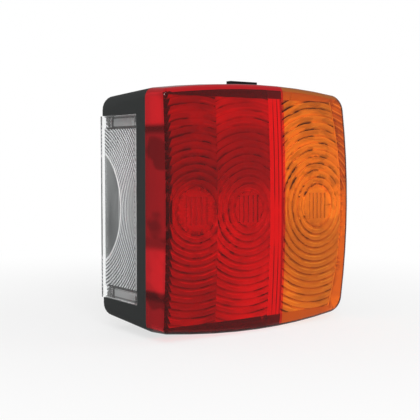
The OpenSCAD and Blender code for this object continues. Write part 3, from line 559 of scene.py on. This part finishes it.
def prisms(name, color, light, tint, solid, x, shade=0.0, fluting=0.9):
    """Dyed plastic with painted shade and glints. The shade is painted where it looks over the bulb into the
    case.
    """
    finish = dyed(name, color, tint, solid)
    groove, flute, crest, strokes = grooves(finish, x, disc_r[x])
    region = 0.35 + finish.noise(24.0).rising(0.4, 0.6) * 0.65
    # Painted shade: the grooves broken into strokes, and the flutes.
    groove = groove * (0.15 + strokes * 0.85) * region + strokes * region * 0.3 + flute * fluting
    clouds = finish.noise(28.0, detail=1.0).rising(0.35, 0.65)
    dye_and_painted_light = finish.blend(clouds, tone(light, 0.65), light)
    # Painted glints on the crests and round the disc.
    glint = finish.noise(90.0).rising(0.45, 0.6) * crest * 0.5
    dye_and_painted_light = finish.mixed({"Factor": glint, 6: dye_and_painted_light, 7: (1.0, light[1] * 1.5, light[2] * 2, 1)})
    across = finish.node("ShaderNodeSeparateXYZ", {}, {0: finish.place()})
    up = across.other("Z")
    # Painted shade over the bulb.
    over_bulb = up.rising(4 * MM, 15 * MM) * (1 - up.rising(30 * MM, 38 * MM)) * shade
    dye_and_painted_light = finish.mixed({"Factor": over_bulb, 6: dye_and_painted_light, 7: (*tone(color, 0.12), 1)})
    dye_and_painted_light = finish.mixed({"Factor": groove, 6: dye_and_painted_light, 7: (*tone(color, 0.1), 1)})
    # Painted shade: dark saw teeth where the tail rings meet the side wall.
    if x == tail_x:
        side = across - x
        tooth = ((side * side + up * up) ** 0.5 - disc_r[x]) / ring_pitch % 1.0
        teeth = 1 - (across - wall_x - tooth * tooth_l).rising(1.0 * MM, 1.3 * MM)
        dye_and_painted_light = finish.mixed({"Factor": teeth, 6: dye_and_painted_light, 7: (*tone(color, 0.06), 1)})
    finish.shade(Base_Color=dye_and_painted_light)
    return finish.material


# The tail set's colour is painted darker than the stop set's, as shade.
tail_prisms = prisms("tail_prisms", red, tone(red, 0.7), red_tint, 0.5, tail_x, shade=0.5, fluting=0.4)
stop_prisms = prisms("stop_prisms", red, tone(red, 0.95), red_tint, 0.5, stop_x, shade=0.5, fluting=0.8)
amber_light = (1.0, 0.5, 0.09)
indicator_prisms = prisms("indicator_prisms", amber, amber_light, amber_tint, 0.65, indicator_x)
print("prisms:", tail_prisms.name, stop_prisms.name, indicator_prisms.name)

# %% [markdown]
# Between the bowed edge of the amber field and the amber side lies a plain strip. Its upper half is painted
# with a reflection of the lines of the rings, dark lines with glints, and its lower half is painted plain and
# lighter.

# %% Strip beside the amber field
lines_from = 4 * MM
side_strip = dyed("amber_band", (0.68, 0.22, 0.03), amber_tint, 0.7)
groove, flute, crest, strokes = grooves(side_strip, indicator_x, disc_r[indicator_x])
up = side_strip.node("ShaderNodeSeparateXYZ", {}, {0: side_strip.place()}, output="Z")
above = up.rising(lines_from, lines_from + 6 * MM)
# Painted light: the lower half lighter than the upper, which gets painted ring lines and glints.
strip_dye_and_painted_light = side_strip.blend(above, (0.74, 0.27, 0.02), (0.5, 0.15, 0.02))
strip_tone = side_strip.mixed({"Factor": groove * above * 0.8, 6: strip_dye_and_painted_light, 7: (0.2, 0.05, 0.01, 1)})
strip_lit = side_strip.mixed({"Factor": crest * above * 0.6, 6: strip_tone, 7: (0.9, 0.5, 0.15, 1)})
side_strip.shade(Base_Color=strip_lit)
amber_band = side_strip.material
print("strip:", amber_band.name)

# %% [markdown]
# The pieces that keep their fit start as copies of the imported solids. A copy's loose triangles are merged
# first. These helpers make such a copy, give its faces their finishes and fix the finished piece to the
# lamp.


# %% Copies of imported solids
def pick(piece):
    """Makes a piece the only selected object."""
    bpy.ops.object.select_all(action="DESELECT")
    piece.select_set(True)
    bpy.context.view_layer.objects.active = piece


def settle(piece, *stands_for):
    """Fixes a finished piece to the lamp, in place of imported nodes."""
    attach(piece, "root")
    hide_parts(*stands_for)
    print(piece.name, len(piece.data.polygons), "faces")


def copy_of(node, name):
    piece = bpy.data.objects.new(name, nodes[node].data.copy())
    bpy.context.scene.collection.objects.link(piece)
    pick(piece)
    bpy.ops.object.mode_set(mode="EDIT")
    bpy.ops.mesh.select_all(action="SELECT")
    bpy.ops.mesh.remove_doubles(threshold=0.0001 * MM)
    bpy.ops.object.mode_set(mode="OBJECT")
    return piece


def paint(piece, materials, choose, smooth=12):
    """Gives each face the material that the choice names, and smooths all but sharp edges."""
    piece.data.materials.clear()
    for material in materials:
        piece.data.materials.append(material)
    for face in piece.data.polygons:
        face.material_index = materials.index(choose(face))
    pick(piece)
    bpy.ops.object.shade_smooth_by_angle(angle=math.radians(smooth))


# %% [markdown]
# The lens is one moulding in two colours. Each face gets its finish by where it lies: polished skin
# outside, flutes and discs inside, rims above and below the fields painted dark as shade, plain bands
# between them, top flanks with painted light and side walls with painted light and shade. Where the finer
# rings of the later cell grow out of the lens, and where red and amber are moulded together, the face
# stands inside solid plastic, so it is made fully clear.


# %% Lens
def in_field(at):
    """Whether prisms cover this place."""
    if abs(at.z) > field_top + near:
        return False
    if at.x > joint_x:
        return math.hypot(at.x - bow_x, at.z) < bow_r + near
    return wall_x + near / 2 < at.x < plain_x + near


def lens_finish(skin, band, wall, rim, edge, lights):
    """The choice of a finish for each face of one colour of the lens."""
    def choose(face):
        at = face.center
        if abs(at.x - joint_x) < near and abs(face.normal.x) > 0.99:
            return joined
        inside = face.normal.y > -0.3 and at.y < -42 * MM
        if inside and in_field(at):
            for x, material in lights.items():
                if math.hypot(at.x - x, at.z) < disc_r[x] * 0.995:
                    return material
            return joined
        plain = plain_x < at.x < joint_x or (at.x > joint_x and abs(at.z) < field_top)
        if inside and face.normal.y > 0.5 and plain:
            return band
        if inside and face.normal.y > 0.5 and abs(at.z) > field_top:
            return rim
        if face.normal.z > 0.5 and at.z > field_top:
            return edge
        return wall if abs(face.normal.x) > 0.9 and abs(at.x) > abs(wall_x) - near else skin
    return choose


red_lights = {tail_x: tail_prisms, stop_x: stop_prisms}
amber_lights = {indicator_x: indicator_prisms}
red_lens = copy_of("lens_red", "red_lens_body")
red_choice = lens_finish(red_skin, red_band, red_wall_painted_shading, red_rim_painted_shade, red_edge_painted_highlight, red_lights)
red_materials = [red_skin, red_band, red_wall_painted_shading, red_rim_painted_shade, red_edge_painted_highlight, tail_prisms, stop_prisms, joined]
paint(red_lens, red_materials, red_choice)
settle(red_lens, "lens_red")
amber_lens = copy_of("lens_amber", "amber_lens_body")
amber_choice = lens_finish(amber_skin, amber_band, amber_wall_painted_shade, amber_rim_painted_shade, amber_top_painted_light, amber_lights)
amber_materials = [amber_skin, amber_band, amber_wall_painted_shade, amber_rim_painted_shade, amber_top_painted_light, indicator_prisms, joined]
paint(amber_lens, amber_materials, amber_choice)
settle(amber_lens, "lens_amber")

# %% [markdown]
# A mould maker turns the prism rings on a lathe, and this cell does the same. The section of all the rings
# is drawn point by point, starting from a small plane that is merged to one point and extruded along the
# section. The section is spun round the light's axis, which stands square on the inner face of the lens.
# Each slope is a curve, steepest at its tip, which gives the grooves their shade. A block laid over a set
# cuts it to its field.


# %% Turned pieces
def drawn(name, points):
    """A closed section, drawn point by point."""
    bpy.ops.object.select_all(action="DESELECT")
    bpy.ops.mesh.primitive_plane_add(size=MM, location=points[0])
    piece = bpy.context.active_object
    piece.name = name
    bpy.ops.object.transform_apply(location=True)
    bpy.ops.object.mode_set(mode="EDIT")
    bpy.ops.mesh.select_all(action="SELECT")
    bpy.ops.mesh.merge(type="CENTER")
    for here, there in zip(points, points[1:] + points[:1]):
        bpy.ops.mesh.extrude_region_move(TRANSFORM_OT_translate={"value": there - here})
    bpy.ops.mesh.select_all(action="SELECT")
    bpy.ops.mesh.remove_doubles(threshold=0.001 * MM)
    bpy.ops.object.mode_set(mode="OBJECT")
    return piece


def turned(name, points, centre, axis, steps):
    """A section spun all round an axis into a closed piece."""
    piece = drawn(name, points)
    bpy.ops.object.mode_set(mode="EDIT")
    bpy.ops.mesh.select_all(action="SELECT")
    bpy.ops.mesh.spin(steps=steps, angle=2 * math.pi, center=centre, axis=axis)
    bpy.ops.mesh.select_all(action="SELECT")
    bpy.ops.mesh.remove_doubles(threshold=0.001 * MM)
    bpy.ops.mesh.normals_make_consistent(inside=False)
    bpy.ops.object.mode_set(mode="OBJECT")
    return piece


def combine(piece, other, how):
    """Joins or intersects a piece with another one, which is used up."""
    pick(piece)
    step = piece.modifiers.new("combine", "BOOLEAN")
    step.operation = how
    step.solver = "EXACT"
    step.object = other
    bpy.ops.object.modifier_apply(modifier="combine")
    pick(other)
    bpy.ops.object.delete()


def block(low, high, turn=0.0, about=(0, 0, 0)):
    """A box between two corners, turned about the vertical through a place."""
    bpy.ops.object.select_all(action="DESELECT")
    middle = (Vector(low) + Vector(high)) / 2
    bpy.ops.mesh.primitive_cube_add(size=1, location=middle, scale=Vector(high) - Vector(low))
    piece = bpy.context.active_object
    bpy.ops.object.transform_apply(location=True, scale=True)
    if turn:
        bpy.ops.object.mode_set(mode="EDIT")
        bpy.ops.transform.rotate(value=turn, orient_axis="Z", center_override=about)
        bpy.ops.object.mode_set(mode="OBJECT")
    return piece


def ring_section(first, last, pitch, root, tip, foot):
    """Section of a ring set as (radius, depth) pairs, its root inside the plastic."""
    count = math.ceil((last - first) / pitch)
    reach = first + count * pitch
    section = [(first + (reach - first) * i / 8, -root) for i in range(9)]
    for k in reversed(range(count)):
        for share in (1, 0.75, 0.5, 0.25, 0):
            section.append((first + (k + share) * pitch, foot + (tip - foot) * (1 - share) ** 2))
    return section


# %% [markdown]
# Each light has its own ring set. The two red sets are joined into one piece where they meet. The amber set
# is cut by a large cylinder as well, which gives it the bowed outer edge of its field.


# %% Prism rings of the three lights
def lens_rings(name, x, x0, x1):
    axis = Vector(((x - inner_centre.x) / inner_r, 0, 0))
    axis.y = -math.sqrt(1 - axis.x ** 2)
    sideways = Vector((-axis.y, axis.x, 0))
    reach = math.hypot(max(x - x0, x1 - x), field_top) + ring_pitch
    section = ring_section(disc_r[x], reach, ring_pitch, 0.2 * MM, ring_tip, ring_foot)
    height = [math.sqrt(inner_r ** 2 - r ** 2) - depth for r, depth in section]
    points = [inner_centre + axis * h + sideways * r for h, (r, depth) in zip(height, section)]
    piece = turned(name, points, inner_centre, axis, 240)
    field = block((x0, -60 * MM, -field_top), (x1, -30 * MM, field_top))
    combine(piece, field, "INTERSECT")
    return piece


def ring_finish(face):
    """Clear where a ring set grows out of the lens, a painted highlight on the amber bowed side, prisms
    elsewhere.
    """
    if (face.center - inner_centre).length > inner_r + near / 2:
        return joined
    if face.center.x > joint_x - near:
        bowed_side = face.normal.x > 0.9 and face.center.x > joint_x + 10 * MM
        return amber_edge_painted_highlight if bowed_side else indicator_prisms
    return tail_prisms if face.center.x < split_x else stop_prisms


red_rings = lens_rings("red_rings", tail_x, wall_x + 1.5 * near, split_x)
stop_rings = lens_rings("stop_rings", stop_x, split_x, plain_x)
combine(red_rings, stop_rings, "UNION")
amber_rings = lens_rings("amber_rings", indicator_x, joint_x, field_end)
bpy.ops.object.select_all(action="DESELECT")
bpy.ops.mesh.primitive_cylinder_add(vertices=400, radius=bow_r, depth=0.1, rotation=(math.pi / 2, 0, 0))
bowed = bpy.context.active_object
bowed.location = (bow_x, -45 * MM, 0)
combine(amber_rings, bowed, "INTERSECT")
paint(red_rings, [tail_prisms, stop_prisms, joined], ring_finish, smooth=25)
paint(amber_rings, [indicator_prisms, amber_edge_painted_highlight, joined], ring_finish, smooth=25)
settle(red_rings, "lens_red")
settle(amber_rings, "lens_amber")

# %% [markdown]
# The number plate light shines out through a clear window in the side wall. Its inner face has fine rings
# as well, around a centre that lies behind the lamp, so only arcs of them show, with a plain disc between
# them and the back. The wall leans by the draft of the mould, and the window's own directions follow it.
# The finish paints light and shade: the dark and light lines of the rings, a calm grey middle before the
# lamp, painted shade in the disc with a painted glow of the bulb, a painted bright line round the disc, and
# the lighter notched strip at the front.

# %% Window finish
draft = math.radians(3)
case_d = -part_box("housing")[0][1]
wall_in = Vector((math.cos(draft), -math.sin(draft), 0))
wall_forward = Vector((-math.sin(draft), -math.cos(draft), 0))
wall_foot = Vector((-half_w + case_d * math.tan(draft), 0, 0))
centre_behind = 13
window_centre = wall_foot - wall_forward * centre_behind * MM
window_disc_r = 26.6 * MM
window_pitch = 1.35 * MM
window_face = 2.3 * MM
window_top = 33 * MM
glow_at = 12.2 * MM
notch_pitch = 2.1 * MM
notch_l = 1.2 * MM
strip_at = 26 * MM

window_prisms = dyed("window_prisms", (0.8, 0.8, 0.8), (0.9, 0.9, 0.9), 0.8, gloss=0.3)
radius = window_prisms.node(
    "ShaderNodeVectorMath", {"operation": "DISTANCE"},
    {0: window_prisms.place(), 1: window_centre}, output="Value",
)
radius = radius + (window_prisms.noise(120.0) - 0.5) * (0.4 * MM)
# The ring lines are painted light and shade.
line = abs((((radius - window_disc_r) / window_pitch) % 1.0) - 0.5).rising(0.15, 0.4)
outside = radius.rising(window_disc_r, window_disc_r + near)
# A painted bright line round the disc.
rim = 1 - abs(radius - window_disc_r).rising(0.3 * MM, 0.7 * MM)
streaks = window_prisms.noise(60.0, stretch=(1.0, 1.0, 0.3)).rising(0.35, 0.65)
across = window_prisms.node("ShaderNodeSeparateXYZ", {}, {0: window_prisms.place()})
from_back = across.other("Y") * -1
height = abs(across.other("Z"))
calm = from_back.rising(17 * MM, 21 * MM) * (1 - height.rising(6 * MM, 16 * MM))
# A painted glow of the bulb in the disc.
painted_bulb_glow = (1 - abs(from_back - glow_at).rising(0.2 * MM, 0.6 * MM)) * (1 - height.rising(8 * MM, 12 * MM))
notch = abs((height / notch_pitch) % 1.0 - 0.5).rising(0.1, 0.2) * notch_l
front_strip = (from_back + notch).rising(strip_at, strip_at + 0.2 * MM)
field = window_prisms.blend(line, (0.07, 0.072, 0.075), (0.9, 0.91, 0.92))
field = window_prisms.mixed({"Factor": calm * 0.8, 6: field, 7: (0.55, 0.56, 0.56, 1)})
field = window_prisms.mixed({"Factor": front_strip, 6: field, 7: (0.8, 0.81, 0.81, 1)})
# The disc is painted dark as shade, with streaks.
disc = window_prisms.blend(streaks, (0.12, 0.125, 0.125), (0.28, 0.29, 0.29))
disc = window_prisms.mixed({"Factor": painted_bulb_glow, 6: disc, 7: (0.55, 0.56, 0.56, 1)})
both = window_prisms.mixed({"Factor": outside, 6: disc, 7: field})
window_prisms.shade(Base_Color=window_prisms.mixed({"Factor": rim, 6: both, 7: (0.95, 0.95, 0.95, 1)}))
window_prisms = window_prisms.material
print("window rings start", round(window_disc_r / MM, 1), "mm from their centre")

# %% [markdown]
# Above and below the rings the window has a flat bar by which it is held in the case. On each bar the dark
# pocket behind it, a hole near the front and lines at its foot and top are painted as shade, and a light line
# is painted along the outer edge.

# %% Window bars
pocket_end = 8.2 * MM
foot_end = 33.9 * MM
frame_start = 38.3 * MM
line_at = 37.7 * MM
hole_at = (0, 26.4 * MM, 36.3 * MM)
bars = dyed("window_bars", (0.6, 0.61, 0.61), (0.9, 0.9, 0.9), 0.75, gloss=0.3)
along = bars.node("ShaderNodeSeparateXYZ", {}, {0: bars.place()})
from_back = along.other("Y") * -1
height = abs(along.other("Z"))
pocket = 1 - from_back.rising(pocket_end, pocket_end + 0.6 * MM)
frame_line = height.rising(frame_start, frame_start + 0.3 * MM)
foot_line = 1 - height.rising(foot_end, foot_end + 0.4 * MM)
on_bar = bars.node("ShaderNodeCombineXYZ", {}, {1: from_back, 2: height})
from_hole = bars.node(
    "ShaderNodeVectorMath", {"operation": "DISTANCE"}, {0: on_bar, 1: hole_at}, output="Value",
)
hole = 1 - from_hole.rising(0.8 * MM, 1.3 * MM)
upper_line = 1 - abs(height - line_at).rising(0.3 * MM, 0.5 * MM)
# Painted shade where the pocket, the hole and the lines show, and a lighter band above the frame line.
painted_shade_marks = (pocket + foot_line + hole + upper_line * 0.7).rising(0.0, 1.0)
bar_tone = bars.blend(painted_shade_marks * (1 - frame_line), (0.42, 0.43, 0.43), (0.06, 0.06, 0.06))
bars.shade(Base_Color=bars.mixed({"Factor": frame_line, 6: bar_tone, 7: (0.8, 0.8, 0.8, 1)}))
bar_finish = bars.material
print("bars:", bar_finish.name)

# %% [markdown]
# The window keeps its fit in the case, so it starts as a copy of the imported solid. Its fine rings are
# turned like those of the lens, and a block that leans with the wall cuts them to the field between the
# bars.


# %% Window
def window_choice(face):
    depth = (face.center - wall_foot).dot(wall_in)
    if depth > window_face + near / 10:
        apart = (face.center - window_centre).cross(wall_in).length
        return joined if apart > window_disc_r else window_prisms
    if face.normal.dot(wall_in) > 0.9:
        return window_prisms if abs(face.center.z) < window_top else bar_finish
    return window_skin


window = copy_of("plate_window", "window_body")
paint(window, [window_skin, window_prisms, bar_finish, joined], window_choice)
settle(window, "plate_window")

window_front = 27.2 * MM
window_back = 2.8 * MM
reach = math.hypot(window_front + centre_behind * MM, window_top) + window_pitch
section = ring_section(window_disc_r, reach, window_pitch, 0.1 * MM, 0.5 * MM, 0.05 * MM)
points = [window_centre + wall_in * (window_face + depth) + wall_forward * r for r, depth in section]
window_rings = turned("window_rings", points, window_centre, wall_in, 240)
field_low = wall_foot + Vector((0, -window_front, -window_top))
field_high = wall_foot + Vector((6 * MM, -window_back, window_top))
combine(window_rings, block(field_low, field_high, draft, wall_foot), "INTERSECT")


def window_ring_choice(face):
    depth = (face.center - wall_foot).dot(wall_in)
    return joined if depth < window_face + near / 5 else window_prisms


paint(window_rings, [window_prisms, joined], window_ring_choice, smooth=25)
settle(window_rings, "plate_window")

# %% [markdown]
# The case is one moulding with drafted walls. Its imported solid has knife-sharp edges, which a mould never
# gives. A small bevel rounds every edge of the merged copy, so that each catches a thin line of light. The
# normals are then weighted by the size of the faces, which keeps the large flat walls flat up to their
# rounded edges.


# %% Rounded edges
def rounded(piece, width, angle=40, segments=2):
    """Rounds the edges that are sharper than the angle."""
    step = piece.modifiers.new("rounding", "BEVEL")
    step.width = width
    step.segments = segments
    step.limit_method = "ANGLE"
    step.angle_limit = math.radians(angle)
    pick(piece)
    bpy.ops.object.modifier_apply(modifier="rounding")


def even_shading(piece):
    step = piece.modifiers.new("even_shading", "WEIGHTED_NORMAL")
    step.keep_sharp = True
    pick(piece)
    bpy.ops.object.modifier_apply(modifier="even_shading")


# %% Case
case = copy_of("housing", "case_body")
rounded(case, 0.25 * MM)
paint(case, [case_plastic], lambda face: case_plastic, smooth=30)
even_shading(case)
settle(case, "housing")

# %% [markdown]
# The cable inlet is a soft rubber grommet that is pressed into the back. Rubber is moulded with round
# edges, so the copy gets a wider bevel than the case.

# %% Grommet
grommet = copy_of("cable_grommet", "grommet_body")
rounded(grommet, 0.3 * MM, segments=3)
paint(grommet, [seal_rubber], lambda face: seal_rubber, smooth=40)
even_shading(grommet)
settle(grommet, "cable_grommet")

# %% [markdown]
# The lamp hangs on two M5 bolts. A rolled thread is a ridge that climbs by 0.8 mm each turn. Its section is
# drawn as a zigzag along the bolt, one crest, flank, root and flank for each turn, and screwed once round
# by the Screw modifier, so that it meets its own next turn. The ends are filled and a chamfered bar trims
# the thread. It is modelled once, copied for the other bolt, and both are joined to the heads and necks of
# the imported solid.

# %% Bolts
thread_pitch = 0.8 * MM
bolt_r = 2.5 * MM
root_r = 2.06 * MM
thread_foot = 1 * MM
bolt_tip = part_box("mounting_bolts")[1][1]
head_half = 4 * MM
bolt_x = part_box("mounting_bolts")[1][0] - head_half / math.cos(math.radians(30))
thread_steps = ((0, 0.12), (root_r - bolt_r, 0.36), (0, 0.16), (bolt_r - root_r, 0.36))


def thread(name):
    """A threaded bar round the Y axis."""
    bpy.ops.object.select_all(action="DESELECT")
    bpy.ops.mesh.primitive_plane_add(size=MM, location=(bolt_r, thread_foot - 2 * thread_pitch, 0))
    piece = bpy.context.active_object
    piece.name = name
    bpy.ops.object.transform_apply(location=True)
    bpy.ops.object.mode_set(mode="EDIT")
    bpy.ops.mesh.select_all(action="SELECT")
    bpy.ops.mesh.merge(type="CENTER")
    for turn in range(math.ceil((bolt_tip - thread_foot) / thread_pitch) + 3):
        for sideways, along in thread_steps:
            bpy.ops.mesh.extrude_region_move(
                TRANSFORM_OT_translate={"value": (sideways, along * thread_pitch, 0)},
            )
    bpy.ops.object.mode_set(mode="OBJECT")
    climb = piece.modifiers.new("climb", "SCREW")
    climb.axis = "Y"
    climb.angle = 2 * math.pi
    climb.screw_offset = thread_pitch
    climb.steps = 32
    climb.render_steps = 32
    climb.use_merge_vertices = True
    climb.merge_threshold = 0.001 * MM
    bpy.ops.object.modifier_apply(modifier="climb")
    bpy.ops.object.mode_set(mode="EDIT")
    bpy.ops.mesh.select_all(action="SELECT")
    bpy.ops.mesh.remove_doubles(threshold=0.005 * MM)
    bpy.ops.mesh.fill_holes(sides=0)
    bpy.ops.mesh.select_all(action="SELECT")
    bpy.ops.mesh.normals_make_consistent(inside=False)
    bpy.ops.object.mode_set(mode="OBJECT")
    bpy.ops.object.select_all(action="DESELECT")
    bpy.ops.mesh.primitive_cylinder_add(
        vertices=64, radius=bolt_r * 1.02, depth=bolt_tip - thread_foot,
        location=(0, (bolt_tip + thread_foot) / 2, 0), rotation=(math.pi / 2, 0, 0),
    )
    bar = bpy.context.active_object
    bpy.ops.object.transform_apply(location=True, rotation=True)
    rounded(bar, 0.45 * MM, segments=1)
    combine(piece, bar, "INTERSECT")
    pick(piece)
    bpy.ops.object.mode_set(mode="EDIT")
    bpy.ops.mesh.select_all(action="SELECT")
    bpy.ops.mesh.remove_doubles(threshold=0.001 * MM)
    bpy.ops.mesh.fill_holes(sides=0)
    bpy.ops.object.mode_set(mode="OBJECT")
    return piece


bolts = copy_of("mounting_bolts", "bolts_body")
combine(bolts, block((-0.04, -0.02, -0.01), (0.04, thread_foot + 0.2 * MM, 0.01)), "INTERSECT")
left_thread = thread("left_thread")
right_thread = bpy.data.objects.new("right_thread", left_thread.data.copy())
bpy.context.scene.collection.objects.link(right_thread)
for threaded, x in ((left_thread, -bolt_x), (right_thread, bolt_x)):
    pick(threaded)
    bpy.ops.object.mode_set(mode="EDIT")
    bpy.ops.mesh.select_all(action="SELECT")
    bpy.ops.transform.translate(value=(x, 0, 0))
    bpy.ops.object.mode_set(mode="OBJECT")
    combine(bolts, threaded, "UNION")
paint(bolts, [screw_zinc], lambda face: screw_zinc, smooth=25)
settle(bolts, "mounting_bolts")

# %% [markdown]
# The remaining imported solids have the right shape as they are: holders, contacts, bulbs, rivets and screws.
# They keep their meshes and get their finishes here.

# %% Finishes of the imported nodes
looks = {
    "black_plastic": case_plastic,
    "red_lens": red_skin,
    "amber_lens": amber_skin,
    "clear_plastic": window_skin,
    "seal_rubber": seal_rubber,
    "white_plastic": carrier_plastic,
    "zinc_steel": zinc_sheet,
    "spring_brass": brass_strip,
    "bulb_glass": bulb_glass,
    "cap_nickel": nickel_cap,
    "filament_wire": drawn_wire,
    "rivet_metal": rivet_alloy,
    "screw_steel": screw_zinc,
}
for name, node in nodes.items():
    node.data.materials.clear()
    node.data.materials.append(looks[slot_of[name]])
print("finished nodes:", len(nodes))
